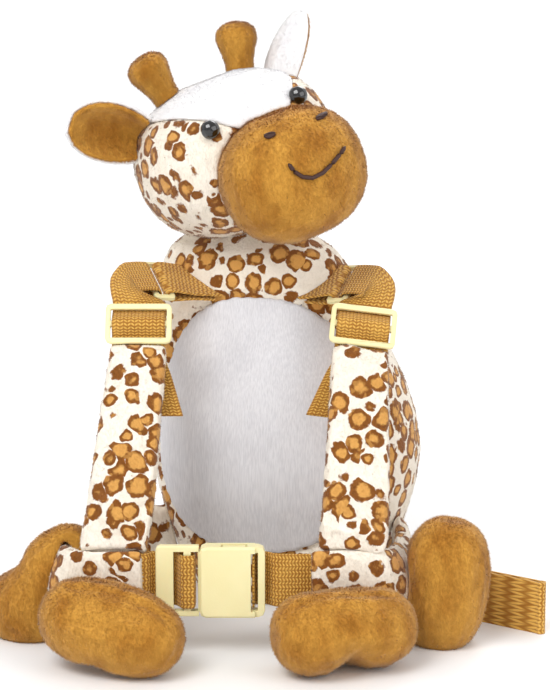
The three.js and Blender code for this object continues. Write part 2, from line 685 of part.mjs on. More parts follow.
// Strap: out of the sleeve, over the slider's middle bar, round the ring's bar and back to a free tail
function strap(side) {
  const { across, up, out: sliderOut, place } = sliderFrame(side);
  const { ahead, across: ringAcross, out: ringOut, at } = ringFrame(side);
  const bar = at.clone().addScaledVector(ahead, (RING_WIRE - RING_LENGTH) / 2);
  const radius = turnClear(RING_WIRE);
  const depth = barClear(SLIDER_THICK);
  const edge = SLIDER_HEIGHT / 2 - SLIDER_BAR;
  const layer = WEB_THICK + WEB_ROOM;
  const front = (s, n) => webStation(place(s, n), across);
  const top = place(SLIDER_HEIGHT / 2 + 1, -depth - layer / 2);
  const near = bar.clone().addScaledVector(ahead, -LOOP_OUT);
  const middle = top.clone().lerp(near, 0.45).addScaledVector(up, 3);
  middle.x -= 3 * side.inward;
  const curve = new THREE.CatmullRomCurve3(
    [place(0, -depth - layer / 2), top, middle, near, bar], false, "centripetal");
  const offset = (sign) => [0.25, 0.35, 0.46, 0.56, 0.66].map((t, i, all) => {
    const share = i / (all.length - 1);
    const turned = sliderOut.clone().lerp(ringOut, share).normalize();
    const room = THREE.MathUtils.lerp(layer / 2, radius, share);
    const at = curve.getPoint(t).addScaledVector(turned, sign * room);
    return webStation(at, across.clone().lerp(ringAcross, share).normalize());
  });
  const byBar = (sign, before) => webStation(
    bar.clone().addScaledVector(ringOut, sign * radius).addScaledVector(ahead, -before), ringAcross);
  const tailFrom = -SLIDER_HEIGHT / 2;
  const behind = -depth - ARM_THICK / 2 - WEB_THICK / 2 - 2 * GAP;
  const shift = vector(side.tail * side.inward, 0, 0);
  return [
    front(tailFrom - SLEEVE_MOUTH, -depth),
    front(-edge + WEB_EASE, -depth),
    front(-SLIDER_BAR / 2 - 0.3, depth),
    front(SLIDER_BAR / 2 + 0.3, depth),
    front(edge - WEB_EASE, -depth),
    ...offset(1),
    byBar(1, 3.5),
    byBar(1, 0),
    ...roundBar(bar, ahead, ringOut, ringAcross, radius),
    byBar(-1, 0),
    byBar(-1, 3.5),
    ...offset(-1).reverse(),
    front(0, -depth - layer),
    front(tailFrom + 2, -depth - layer - 1),
    front(tailFrom - 5, behind),
    { ...front(tailFrom - 12, behind), at: place(tailFrom - 12, behind).addScaledVector(shift, 0.3) },
    { ...front(tailFrom - TAIL_LENGTH, behind), at: place(tailFrom - TAIL_LENGTH, behind).add(shift) },
  ];
}

// Belt sleeve: from its mouth by the buckle out to the corner and back to the body's side.
// out is a share of the way to the corner, back of the way to the body's middle, down of the sleeve's
// height; lean is how far its top leans in, in degrees.
const BELT_ROUTE = {
  left: [
    { out: 0, back: 0, down: 0, lean: 0 },
    { out: 0.4, back: 0, down: 0, lean: 0 },
    { out: 0.78, back: 0.03, down: 0, lean: 8 },
    { out: 0.96, back: 0.13, down: 0.04, lean: 18 },
    { out: 0.96, back: 0.3, down: 0.1, lean: 20 },
    { out: 0.74, back: 0.56, down: 0.18, lean: 12 },
    { out: 0.25, back: 0.84, down: 0.2, lean: 6 },
    { out: -0.25, back: 0.92, down: 0.2, lean: 0 },
  ],
  right: [
    { out: 0, back: 0, down: 0, lean: 0 },
    { out: 0.4, back: 0, down: 0, lean: 0 },
    { out: 0.8, back: 0.03, down: 0.03, lean: -8 },
    { out: 0.98, back: 0.13, down: 0.1, lean: -18 },
    { out: 1.05, back: 0.28, down: 0.16, lean: -18 },
    { out: 1.11, back: 0.45, down: 0.2, lean: -12 },
    { out: 1.12, back: 0.6, down: 0.2, lean: -6 },
    { out: 1.05, back: 0.76, down: 0.2, lean: 0 },
  ],
};

function beltSleeve(name, grow = 0) {
  const { end, corner } = SIDES[name];
  const stations = BELT_ROUTE[name].map(({ out, back, down, lean }) => ({
    at: vector(end + out * (corner - end), BELT_Y + back * (BODY_Y - BELT_Y), BELT_Z - down * SLEEVE_HEIGHT),
    across: vector(Math.sin(radians(lean)), 0, Math.cos(radians(lean))),
    wide: SLEEVE_HEIGHT / 2,
    thick: SLEEVE_THICK / 2,
  }));
  return sweep(smoothed(stations, 11), oval(8, 3), grow);
}

// Arm: a padded sleeve from the slider down to the belt
const ARM_SECTIONS = [
  { down: 0.3, wide: 0.94, thick: 0.96, bow: 0.7, out: 0.25 },
  { down: 0.6, wide: 1.0, thick: 1.0, bow: 1, out: 0.5 },
  { down: 0.85, wide: 1.04, thick: 1.0, bow: 0.6, out: 0.75 },
  { down: 1, wide: 1.04, thick: 0.8, bow: 0, out: 1 },
];

function arm(side, grow = 0) {
  const { across, place } = sliderFrame(side);
  const depth = barClear(SLIDER_THICK);
  const top = place(-SLIDER_HEIGHT / 2 - GAP, -depth);
  const foot = vector(side.end + side.foot * (side.corner - side.end), BELT_Y + SLEEVE_THICK / 2, ARM_FOOT_Z);
  const section = (at, wide, thick) => (
    { at, across, wide: (wide * ARM_WIDTH) / 2, thick: (thick * ARM_THICK) / 2 });
  const stations = [section(top, 0.86, 0.42), section(place(-SLIDER_HEIGHT / 2 - 4, -depth), 0.9, 0.82)];
  for (const s of ARM_SECTIONS) {
    const at = top.clone().lerp(foot, s.down);
    at.x = top.x + s.out * (foot.x - top.x);
    at.y -= s.bow * ARM_BOW;
    stations.push(section(at, s.wide, s.thick));
  }
  return sweep(smoothed(stations, 8), oval(10, 2.8), grow);
}

// Hooves: bean-shaped pillows with a cleft in the middle of one long side. aside is from the belt's
// corner, ahead from the belt and up from the floor, as shares of a hoof's length, width and height.
const HOOVES = {
  hoof_front_left: {
    corner: LEFT_CORNER_X, aside: 0.42, ahead: 0.57, up: 0.5, yaw: -20, tilt: 9, roll: 200, long: 0.97, taper: 0.03,
  },
  hoof_front_right: {
    corner: RIGHT_CORNER_X, aside: -0.4, ahead: 0.58, up: 0.47, yaw: 18, tilt: 0, roll: 150, long: 0.96, taper: 0.04,
  },
  hoof_side_left: {
    corner: LEFT_CORNER_X, aside: -0.09, ahead: -0.8, up: 0.6, yaw: -12, tilt: -54, roll: -10, long: 0.95, taper: 0.24,
  },
  hoof_side_right: {
    corner: RIGHT_CORNER_X, aside: 0.3, ahead: -0.475, up: 0.68, yaw: 0, tilt: -84, roll: -25, long: 0.92, taper: -0.04,
  },
};

function hoof({ corner, aside, ahead, up, yaw, tilt, roll, long, taper }, grow = 0) {
  const outline = oval(14, 2.15);
  const rings = [];
  const rows = 12;
  for (let i = 1; i < rows; i++) {
    const angle = -Math.PI / 2 + (Math.PI * i) / rows;
    const x = power(Math.sin(angle), 0.9) * ((long * HOOF_LENGTH) / 2 + grow);
    const reach = power(Math.cos(angle), 0.78);
    const slim = 1 - taper * (x / (HOOF_LENGTH / 2));
    const cleft = HOOF_CLEFT * Math.exp(-((x / (CLEFT_SPREAD * HOOF_LENGTH)) ** 2));
    rings.push(outline.map(([a, b]) => vector(
      x,
      a * reach * (slim * HOOF_WIDTH / 2 + grow),
      b * reach * (slim * HOOF_HEIGHT / 2 + grow) * (1 - cleft * Math.max(b, 0) ** 1.5))));
  }
  const skin = skinThrough(rings);
  skin.rotateX(radians(roll)).rotateY(radians(tilt)).rotateZ(radians(yaw));
  skin.translate(corner + aside * HOOF_LENGTH, BELT_Y - ahead * HOOF_WIDTH, up * HOOF_HEIGHT);
  const position = skin.getAttribute("position");
  for (let i = 0; i < position.count; i++) {
    position.setZ(i, Math.max(position.getZ(i), -grow));
  }
  return skin;
}

// Buckle, drawn in X and height with its thickness along the belt's normal
const onBelt = (geometry) => geometry.rotateX(Math.PI / 2).translate(BUCKLE_X, BELT_Y, BELT_Z);

// Block over both sides of the buckle's middle height
const mirrored = (from, to, low, high, thick) => [
  block(from, to, low, high, -thick / 2, thick / 2),
  block(from, to, -high, -low, -thick / 2, thick / 2),
];

function buckleMale() {
  const wall = MALE_LENGTH + MALE_LAP;
  const slotHalf = WEB_WIDTH / 2 + 4 * WEB_ROOM;
  const secondFrom = MALE_BAR + MALE_SLOT + BUCKLE_BAR;
  const slots = [[MALE_BAR, MALE_BAR + MALE_SLOT], [secondFrom, MALE_LENGTH - GAP]];
  const cuts = slots.map(([x0, x1]) => block(x0, x1, -slotHalf, slotHalf, -MALE_THICK, MALE_THICK));
  const outline = roundedBox(wall, BUCKLE_HEIGHT, 2, wall / 2);
  const root = wall - 1;
  const tip = MALE_LENGTH + FEMALE_LENGTH - PRONG_SHORT;
  const lap = BUCKLE_HEIGHT / 2 - FEMALE_WALL - GAP;
  const pieces = [
    less(plate(outline, MALE_THICK, 0.5), ...cuts),
    ...mirrored(root, tip, PRONG_IN, PRONG_OUT, PRONG_THICK),
    ...mirrored(tip - HOOK_LENGTH, tip, (PRONG_IN + PRONG_OUT) / 2, HOOK_OUT, PRONG_THICK),
    block(root, tip - PRONG_THICK, -GUIDE_WIDTH / 2, GUIDE_WIDTH / 2, -PRONG_THICK / 2, PRONG_THICK / 2),
  ];
  const trims = mirrored(MALE_LENGTH, wall + 1, lap, BUCKLE_HEIGHT, 2 * MALE_THICK);
  return onBelt(less(joined(...pieces), ...trims));
}

function buckleFemale() {
  const from = MALE_LENGTH + GAP;
  const to = MALE_LENGTH + FEMALE_LENGTH;
  const outline = roundedBox(FEMALE_LENGTH - GAP, BUCKLE_HEIGHT, 3, (from + to) / 2);
  const half = BUCKLE_HEIGHT / 2;
  const beyond = half + 1;
  const room = MALE_THICK / 2 + GAP;
  const inner = to - FEMALE_BLOCK;
  const bar = to - BUCKLE_BAR;
  const slotHalf = WEB_WIDTH / 2 + 3 * WEB_ROOM;
  const cuts = [
    block(from - 1, inner, FEMALE_WALL - half, half - FEMALE_WALL, -room, room),
    block(inner - WINDOW_LENGTH, inner, -beyond, beyond, -room, room),
    block(inner + FEMALE_BLOCK / 5, bar, -slotHalf, slotHalf, -FEMALE_THICK, FEMALE_THICK),
    block(bar - BAR_NOTCH, to + 1, -beyond, beyond, room + BAR_LIP, FEMALE_THICK),
    block(bar - BAR_NOTCH, to + 1, -beyond, beyond, -FEMALE_THICK, -room - BAR_LIP),
  ];
  return onBelt(less(plate(outline, FEMALE_THICK, 1), ...cuts));
}

const beltPlace = (x, n) => vector(BUCKLE_X + x, BELT_Y - n, BELT_Z);

function beltWebbingLeft() {
  const depth = barClear(MALE_THICK);
  const start = LEFT_SLEEVE_END - SLEEVE_MOUTH - BUCKLE_X;
  const barFrom = MALE_BAR + MALE_SLOT;
  const barTo = barFrom + BUCKLE_BAR;
  const turn = barTo + WEB_ROOM + WEB_THICK;
  const corner = depth - WEB_THICK / 2 - WEB_ROOM;
  const second = -depth - WEB_THICK - WEB_ROOM;
  const route = [
    [start, 0], [LEFT_SLEEVE_END - BUCKLE_X + 1, 0], [-1.5, -depth], [MALE_BAR + WEB_EASE, -depth],
    [barFrom - WEB_EASE, depth], [barTo + 0.2, depth + 0.1], [turn, corner], [turn, -corner],
    [barTo + 0.2, -depth - 0.1], [barFrom - 1, -depth - WEB_EASE], [MALE_BAR + 1, second], [-3.5, second],
  ];
  return route.map(([x, n]) => webStation(beltPlace(x, n), UP));
}

function beltWebbingRight() {
  const to = MALE_LENGTH + FEMALE_LENGTH;
  const depth = MALE_THICK / 2 + GAP + BAR_LIP + WEB_ROOM + WEB_THICK / 2;
  const bar = to - BUCKLE_BAR;
  const end = RIGHT_SLEEVE_END + SLEEVE_MOUTH - BUCKLE_X;
  const route = [
    [bar - 2.1, 1.6], [bar - 1.9, -depth / 2], [bar - 0.6, -depth], [to + 1, -depth],
    [to + 6, 0], [RIGHT_SLEEVE_END - BUCKLE_X - 1, 0], [end, 0],
  ];
  return route.map(([x, n]) => webStation(beltPlace(x, n), UP));
}

// Tether: a folded loop of webbing standing on its edge. out is a share of the way from the body's
// middle to the fold, back of the way from the fold to the body's middle.
const TETHER_ROUTE = [[0.42, 0.86], [0.53, 0.64], [0.65, 0.4], [0.76, 0.24], [0.985, 0.01]];

function tether() {
  const across = UP.clone();
  const line = TETHER_ROUTE.map(([out, back]) => vector(
    BODY_X + out * (TETHER_REACH - BODY_X), TETHER_END_Y + back * (BODY_Y - TETHER_END_Y), WEB_WIDTH / 2));
  const offset = (sign) => line.map((at, i) => {
    const along = line[Math.min(i + 1, line.length - 1)].clone().sub(line[Math.max(i - 1, 0)]).normalize();
    const out = across.clone().cross(along).normalize();
    return webStation(at.clone().addScaledVector(out, sign * TETHER_SPREAD), across);
  });
  const end = line[line.length - 1];
  const ahead = end.clone().sub(line[line.length - 2]).normalize();
  const out = across.clone().cross(ahead).normalize();
  const fold = roundBar(end.clone().addScaledVector(ahead, 1), ahead, out, across, TETHER_SPREAD + 0.6);
  return less(sweep([...offset(1), ...fold, ...offset(-1).reverse()], FLAT_WEB),
    bodySkin(GAP).applyMatrix4(bodyFrame));
}

function harnessPieces() {
  const pieces = {};
  const bodyRoom = bodySkin(GAP).applyMatrix4(bodyFrame);
  const webs = { left: beltWebbingLeft(), right: beltWebbingRight() };
  for (const [name, side] of Object.entries(SIDES)) {
    const route = strap(side);
    const webRoom = sweep(webs[name], FLAT_WEB, GAP);
    pieces[`strap_${name}`] = sweep(route, FLAT_WEB);
    pieces[`slider_${name}`] = slider(side);
    pieces[`ring_${name}`] = less(ring(side), bodyRoom);
    pieces[`ring_tab_${name}`] = ringTab(side);
    pieces[`arm_${name}`] = less(
      arm(side), beltSleeve(name, GAP), sweep(route, FLAT_WEB, GAP), webRoom);
    pieces[`belt_webbing_${name}`] = sweep(webs[name], FLAT_WEB);
    pieces[`belt_sleeve_${name}`] = less(beltSleeve(name), bodyRoom, webRoom);
  }
  pieces.buckle_male = buckleMale();
  pieces.buckle_female = buckleFemale();
  pieces.tether = tether();
  const front = { left: HOOVES.hoof_front_left, right: HOOVES.hoof_front_right };
  for (const name of Object.keys(SIDES)) {
    const sleeve = beltSleeve(name, GAP);
    pieces[`hoof_front_${name}`] = less(hoof(front[name]), sleeve, arm(SIDES[name], GAP));
    pieces[`hoof_side_${name}`] = less(hoof(HOOVES[`hoof_side_${name}`]), sleeve, hoof(front[name], GAP));
  }
  return pieces;
}

const LOOKS = {
  body: CLOTH_SPOTTED,
  pocket_panel: CLOTH_SPOTTED,
  head: CLOTH_SPOTTED,
  arm: CLOTH_SPOTTED,
  belt_sleeve: CLOTH_SPOTTED,
  muzzle: CLOTH_BROWN,
  hoof: CLOTH_BROWN,
  ossicone: CLOTH_BROWN,
  ear: CLOTH_BROWN,
  crown_panel: CLOTH_WHITE,
  ear_left_back: CLOTH_WHITE,
  ear_right_back: CLOTH_WHITE,
  belly_panel: CLOTH_GREY,
  pocket_zip: WEBBING,
  strap: WEBBING,
  ring_tab: WEBBING,
  belt_webbing: WEBBING,
  tether: WEBBING,
  slider: PLASTIC,
  ring: PLASTIC,
  buckle: PLASTIC,
  eye: EYE_BLACK,
};

function lookOf(name) {
  const keys = Object.keys(LOOKS).filter((key) => name === key || name.startsWith(`${key}_`));
  keys.sort((a, b) => b.length - a.length);
  return LOOKS[keys[0]];
}

const part = new THREE.Group();
part.name = "toddler_harness_backpack";

function addPieces(pieces, frame) {
  for (const [name, geometry] of Object.entries(pieces)) {
    geometry.computeVertexNormals();
    const mesh = new THREE.Mesh(geometry, new THREE.MeshStandardMaterial(lookOf(name)));
    mesh.name = name;
    mesh.applyMatrix4(frame);
    part.add(mesh);
  }
}

addPieces(bodyPieces(), bodyFrame);
addPieces(headPieces(), headFrame);
addPieces(harnessPieces(), new THREE.Matrix4());

// Origin at the middle of the overall box, on the floor
const bounds = new THREE.Box3().setFromObject(part, true);
const shift = vector(-(bounds.min.x + bounds.max.x) / 2, -(bounds.min.y + bounds.max.y) / 2, -bounds.min.z);
for (const mesh of part.children) mesh.position.add(shift);

export default part;
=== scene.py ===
# Toddler harness backpack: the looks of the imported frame. Metres, +Z up, seen from -Y.
# Left and right are the viewer's, as in the photo.
import math

import bpy
import numpy as np
from mathutils import Matrix, Vector
from mathutils.bvhtree import BVHTree


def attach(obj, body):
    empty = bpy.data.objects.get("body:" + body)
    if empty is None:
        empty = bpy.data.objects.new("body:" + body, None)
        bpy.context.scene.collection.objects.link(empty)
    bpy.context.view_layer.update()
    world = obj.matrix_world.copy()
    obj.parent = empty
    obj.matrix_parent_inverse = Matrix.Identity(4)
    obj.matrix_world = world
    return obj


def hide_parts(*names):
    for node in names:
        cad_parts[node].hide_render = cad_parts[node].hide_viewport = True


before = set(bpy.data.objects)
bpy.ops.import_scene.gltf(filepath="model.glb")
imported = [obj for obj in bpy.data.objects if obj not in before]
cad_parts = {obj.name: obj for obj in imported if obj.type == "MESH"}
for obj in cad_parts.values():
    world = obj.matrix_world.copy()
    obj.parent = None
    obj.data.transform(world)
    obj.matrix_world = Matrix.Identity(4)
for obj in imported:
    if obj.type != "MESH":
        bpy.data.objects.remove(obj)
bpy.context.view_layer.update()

MM = 0.001
SEED = 11

# Where the drawing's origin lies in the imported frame
ORIGIN = Vector((3.79, -30.02, 0)) * MM

# The photograph: its size, its focal length in pixels and where the camera stands and looks
IMAGE = (550, 690)
FOCAL = 1944
SENSOR = 36
CAMERA_AT = ORIGIN + Vector((0, -886.3, 293.3)) * MM
CAMERA_AIM = ORIGIN + Vector((0, 0, 137)) * MM

# The body's own frame and the belly panel on it, as part.mjs draws them
BODY_AT = Vector((6, 80, 0)) * MM
BODY_TURN = math.radians(-20)
BELLY_HALF = 54.5 * MM
BELLY_TOP = 155 * MM
BELLY_WIDEST = 74 * MM
BELLY_FOOT = 28 * MM

# The groove along the belly panel's seam, its puckers and how far from the seam either is felt
BELLY_SEAM_RADIUS = 60 * MM
GROOVE_DEPTH = 1.1 * MM
GROOVE_WIDTH = 1.6 * MM
PUCKER_HEIGHT = 0.35 * MM
PUCKER_PITCH = 7 * MM
PUCKER_REACH = 4 * MM
SEAM_RANGE = 14 * MM

# Webbing: its size, the pitch of its ribs and stitches, and the step along its line
WEB_WIDTH = 25 * MM
WEB_THICK = 1.2 * MM
RIB_PITCH = 1.7 * MM
STITCH_PITCH = 1.5 * MM
WEB_STEP = 1.5 * MM

# How far cloth simulation may move a point, the width of a blade of pile and the plastic's rounding
PUFF_CAP = 1.3 * MM
BLADE_WIDTH = 0.34 * MM
PLASTIC_ROUND = 0.45 * MM
EYE_VOXEL = 0.4 * MM

body_frame = Matrix.Translation(ORIGIN + BODY_AT) @ Matrix.Rotation(BODY_TURN, 4, "Z")


# Camera, lights and floor
def add_camera():
    data = bpy.data.cameras.new("camera")
    data.sensor_width = SENSOR
    data.lens = FOCAL / max(IMAGE) * SENSOR
    data.clip_start = 0.01
    camera = bpy.data.objects.new("camera", data)
    camera.location = CAMERA_AT
    camera.rotation_euler = (CAMERA_AIM - CAMERA_AT).to_track_quat("-Z", "Y").to_euler()
    bpy.context.collection.objects.link(camera)
    bpy.context.scene.camera = camera
    bpy.context.view_layer.update()
    return camera


def add_light(name, place, aim, size, power):
    data = bpy.data.lights.new(name, "AREA")
    data.shape = "DISK"
    data.size = size
    data.energy = power
    light = bpy.data.objects.new(name, data)
    light.location = place
    light.rotation_euler = (Vector(aim) - Vector(place)).to_track_quat("-Z", "Y").to_euler()
    bpy.context.collection.objects.link(light)


def add_lights():
    world = bpy.data.worlds.new("studio")
    world.use_nodes = True
    sky = world.node_tree.nodes["Background"].inputs
    sky["Color"].default_value = (1, 1, 1, 1)
    sky["Strength"].default_value = 0.78
    bpy.context.scene.world = world
    aim = (0, 0, 0.13)
    add_light("key", (-0.7, -1.1, 1.5), aim, 1.0, 18)
    add_light("fill", (1.3, -1.0, 0.9), aim, 1.2, 7)
    add_light("rim", (0.5, 1.2, 1.4), aim, 1.0, 9)
    scene = bpy.context.scene
    scene.view_settings.view_transform = "Standard"


def add_floor():
    half = 4.0
    front = -3.0
    bend = 0.9
    radius = 1.0
    top = 3.5
    arc = [math.radians(a) for a in range(0, 91, 9)]
    line = [(front, 0.0)]
    line += [(bend + radius * math.sin(a), radius - radius * math.cos(a)) for a in arc]
    line += [(bend + radius, top)]
    points = [(x, y, z) for y, z in line for x in (-half, half)]
    faces = [(2 * i, 2 * i + 1, 2 * i + 3, 2 * i + 2) for i in range(len(line) - 1)]
    floor = new_object("floor", points, faces)
    finish = bpy.data.materials.new("floor")
    finish.use_nodes = True
    sockets = finish.node_tree.nodes["Principled BSDF"].inputs
    sockets["Base Color"].default_value = (0.93, 0.93, 0.93, 1)
    sockets["Roughness"].default_value = 0.8
    floor.data.materials.append(finish)


# Meshes
def new_object(name, points, faces, smooth=True):
    mesh = bpy.data.meshes.new(name)
    mesh.from_pydata([tuple(p) for p in points], [], faces)
    mesh.update()
    mesh.polygons.foreach_set("use_smooth", [smooth] * len(mesh.polygons))
    made = bpy.data.objects.new(name, mesh)
    bpy.context.collection.objects.link(made)
    return made


def applied(obj):
    """Applies the object's modifiers to its mesh."""
    graph = bpy.context.evaluated_depsgraph_get()
    graph.update()
    mesh = bpy.data.meshes.new_from_object(obj.evaluated_get(graph))
    obj.modifiers.clear()
    obj.data = mesh
    return obj


def remeshed(node, voxel, smooth):
    """A new object of even quads over a CAD node, its edges rounded by smoothing."""
    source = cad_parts[node]
    made = bpy.data.objects.new(f"{node}_cloth", source.data.copy())
    bpy.context.collection.objects.link(made)
    remesh = made.modifiers.new("remesh", "REMESH")
    remesh.mode = "VOXEL"
    remesh.voxel_size = voxel
    if smooth:
        even = made.modifiers.new("smooth", "SMOOTH")
        even.factor = 0.5
        even.iterations = smooth
    applied(made)
    made.data.polygons.foreach_set("use_smooth", [True] * len(made.data.polygons))
    made.data.materials.clear()
    return made


def points_of(mesh):
    found = np.empty(len(mesh.vertices) * 3)
    mesh.vertices.foreach_get("co", found)
    return found.reshape(-1, 3)


def normals_of(mesh):
    found = np.empty(len(mesh.vertices) * 3)
    mesh.vertices.foreach_get("normal", found)
    return found.reshape(-1, 3)


def move_points(mesh, points):
    mesh.vertices.foreach_set("co", points.ravel())
    mesh.update()


def local(points, place):
    """Points in the row frame as seen in another frame."""
    inverse = np.array(place.inverted())
    return points @ inverse[:3, :3].T + inverse[:3, 3]


def puffed(node, voxel, held=None, pressure=4.0, spare=0.05, frames=20):
    """A CAD node as cloth with a share to spare, filled with air: it swells and wrinkles between the
    points that held names, and no point moves further than PUFF_CAP."""
    obj = bpy.data.objects.new(f"{node}_cloth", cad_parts[node].data.copy())
    bpy.context.collection.objects.link(obj)
    obj.data.materials.clear()
    remesh = obj.modifiers.new("remesh", "REMESH")
    remesh.mode = "VOXEL"
    remesh.voxel_size = voxel
    applied(obj)
    start = points_of(obj.data)
    cloth = obj.modifiers.new("cloth", "CLOTH")
    cloth.settings.use_pressure = True
    cloth.settings.uniform_pressure_force = pressure
    cloth.settings.effector_weights.gravity = 0
    cloth.settings.mass = 0.2
    cloth.settings.shrink_min = -spare
    cloth.settings.bending_stiffness = 0.3
    if held is not None:
        group = obj.vertex_groups.new(name="held")
        group.add([int(i) for i in np.flatnonzero(held(start))], 1.0, "REPLACE")
        cloth.settings.vertex_group_mass = "held"
    for step in range(1, frames + 1):
        bpy.context.scene.frame_set(step)
    applied(obj)
    bpy.context.scene.frame_set(1)
    moved = points_of(obj.data) - start
    length = np.linalg.norm(moved, axis=1, keepdims=True)
    moved *= np.minimum(1, PUFF_CAP / np.maximum(length, 1e-9))
    move_points(obj.data, start + moved)
    obj.vertex_groups.clear()
    finer = obj.modifiers.new("finer", "SUBSURF")
    finer.levels = 1
    applied(obj)
    obj.data.polygons.foreach_set("use_smooth", [True] * len(obj.data.polygons))
    return obj


def side_seams(points):
    """Which points lie by a long piece's left and right edges, level by level."""
    band = np.floor((points[:, 2] - points[:, 2].min()) / (6 * MM)).astype(int)
    low = np.full(band.max() + 1, np.inf)
    high = np.full(band.max() + 1, -np.inf)
    np.minimum.at(low, band, points[:, 0])
    np.maximum.at(high, band, points[:, 0])
    place = (points[:, 0] - low[band]) / np.maximum(high[band] - low[band], MM)
    return np.abs(place - 0.5) > 0.455


# Seams and folds, as distances in metres
def groove(distance, depth, width):
    return -depth * np.exp(-((distance / width) ** 2))


def puckers(distance, along, height, pitch, reach):
    wave = np.sin(2 * np.pi * along / pitch + 1.7 * np.sin(along / pitch))
    return height * wave * np.exp(-np.abs(distance) / reach)


def raise_by(obj, heights):
    mesh = obj.data
    move_points(mesh, points_of(mesh) + normals_of(mesh) * heights[:, None])


def belly_seam(points):
    """Distance out from the belly panel's seam, and the angle round it, in the body's frame."""
    at = local(points, body_frame)
    tall = np.where(at[:, 2] > BELLY_WIDEST, BELLY_TOP - BELLY_WIDEST, BELLY_WIDEST - BELLY_FOOT)
    across = at[:, 0] / BELLY_HALF
    up = (at[:, 2] - BELLY_WIDEST) / tall
    level = (np.abs(across) ** 2.4 + np.abs(up) ** 2.4) ** (1 / 2.4)
    out = (level - 1) * np.hypot(BELLY_HALF * across, tall * up) / np.maximum(level, 0.2)
    behind = at[:, 1] > 0
    return np.where(behind, 1.0, out), np.arctan2(up, across)


# Materials
def srgb(red, green, blue):
    def linear(value):
        value /= 255
        return value / 12.92 if value <= 0.04045 else ((value + 0.055) / 1.055) ** 2.4
    return (linear(red), linear(green), linear(blue), 1)


class Finish:
    """A material and short ways to add nodes to it."""

    def __init__(self, name, roughness, **sockets):
        self.material = bpy.data.materials.new(name)
        self.material.use_nodes = True
        self.tree = self.material.node_tree
        self.shader = self.tree.nodes["Principled BSDF"]
        self.shader.inputs["Roughness"].default_value = roughness
        for socket, value in sockets.items():
            self.shader.inputs[socket.replace("_", " ")].default_value = value

    def node(self, kind, inputs, **settings):
        made = self.tree.nodes.new("ShaderNode" + kind)
        for key, value in settings.items():
            setattr(made, key, value)
        for key, value in inputs.items():
            if isinstance(value, bpy.types.NodeSocket):
                self.tree.links.new(value, made.inputs[key])
            else:
                made.inputs[key].default_value = value
        return made

    def math(self, operation, *values):
        return self.node("Math", dict(enumerate(values)), operation=operation).outputs[0]

    def vector(self, operation, first, second):
        key = 3 if operation == "SCALE" else 1
        return self.node("VectorMath", {0: first, key: second}, operation=operation).outputs[0]

    def place(self):
        return self.node("TexCoord", {}).outputs["Object"]

    def grain(self, size, detail=2.0, vector=None, roughness=0.5):
        """Noise from 0 to 1 with lumps of that size in metres."""
        inputs = {
            "Vector": vector or self.place(),
            "Scale": 1 / size,
            "Detail": detail,
            "Roughness": roughness,
        }
        return self.node("TexNoise", inputs).outputs["Fac"]

    def mix(self, share, first, second):
        made = self.node("Mix", {}, data_type="RGBA")
        for key, value in ((0, share), (6, first), (7, second)):
            if isinstance(value, bpy.types.NodeSocket):
                self.tree.links.new(value, made.inputs[key])
            else:
                made.inputs[key].default_value = value
        return made.outputs[2]

    def step(self, value, low, high):
        """Rises smoothly from 0 at low to 1 at high."""
        inputs = {"Value": value, "From Min": low, "From Max": high}
        return self.node("MapRange", inputs, interpolation_type="SMOOTHSTEP").outputs[0]

    def colour(self, socket):
        self.tree.links.new(socket, self.shader.inputs["Base Color"])

    def bump(self, height, distance, strength=1.0):
        made = self.node("Bump", {"Height": height, "Distance": distance, "Strength": strength})
        self.tree.links.new(made.outputs[0], self.shader.inputs["Normal"])


SPOT_BASE = srgb(250, 243, 232)
SPOT_RING = srgb(134, 80, 28)
SPOT_MIDDLE = srgb(216, 160, 84)
SPOT_SPACING = 9.2 * MM


def spotted_colour(finish):
    """Cream plush printed with broken rings, one to a cell."""
    place = finish.place()
    noise = {"Vector": place, "Scale": 1 / (7 * MM), "Detail": 1.0}
    drift = finish.node("TexNoise", noise).outputs["Color"]
    drift = finish.vector("SUBTRACT", drift, (0.5, 0.5, 0.5))
    place = finish.vector("ADD", place, finish.vector("SCALE", drift, 4 * MM))
    cells = finish.node("TexVoronoi", {"Vector": place, "Scale": 1 / SPOT_SPACING, "Randomness": 0.75})
    chance = finish.node("SeparateColor", {0: cells.outputs["Color"]}).outputs
    size = finish.math("MULTIPLY_ADD", chance[0], 0.55, 0.62)
    reach = finish.math("DIVIDE", cells.outputs["Distance"], size)
    reach = finish.math("ADD", reach, finish.math("MULTIPLY_ADD", finish.grain(2.2 * MM), 0.22, -0.11))
    inside = finish.step(reach, 0.6, 0.54)
    middle = finish.step(reach, 0.4, 0.3)
    gap = finish.step(finish.grain(4 * MM, 1.0), 0.58, 0.66)
    ring = finish.mix(finish.math("MULTIPLY", gap, 0.5), SPOT_RING, SPOT_MIDDLE)
    spot = finish.mix(middle, ring, SPOT_MIDDLE)
    ground = finish.mix(finish.grain(14 * MM), SPOT_BASE, srgb(242, 230, 211))
    return finish.mix(inside, ground, spot)


def nap_shaded_colour(light, dark, lump):
    """Plush of one colour, with stretched patches painted lighter and darker at random: painted shade
    and sheen of pile brushed different ways.
    """
    def made(finish):
        stretched = finish.vector("MULTIPLY", finish.place(), (1, 1, 0.45))
        # Painted shade: stretched patches darker and lighter in the colour, for how light falls on pile
        # brushed different ways.
        painted_nap_shade_mask = finish.step(finish.grain(lump, 2.0, stretched), 0.3, 0.75)
        return finish.mix(painted_nap_shade_mask, light, dark)
    return made


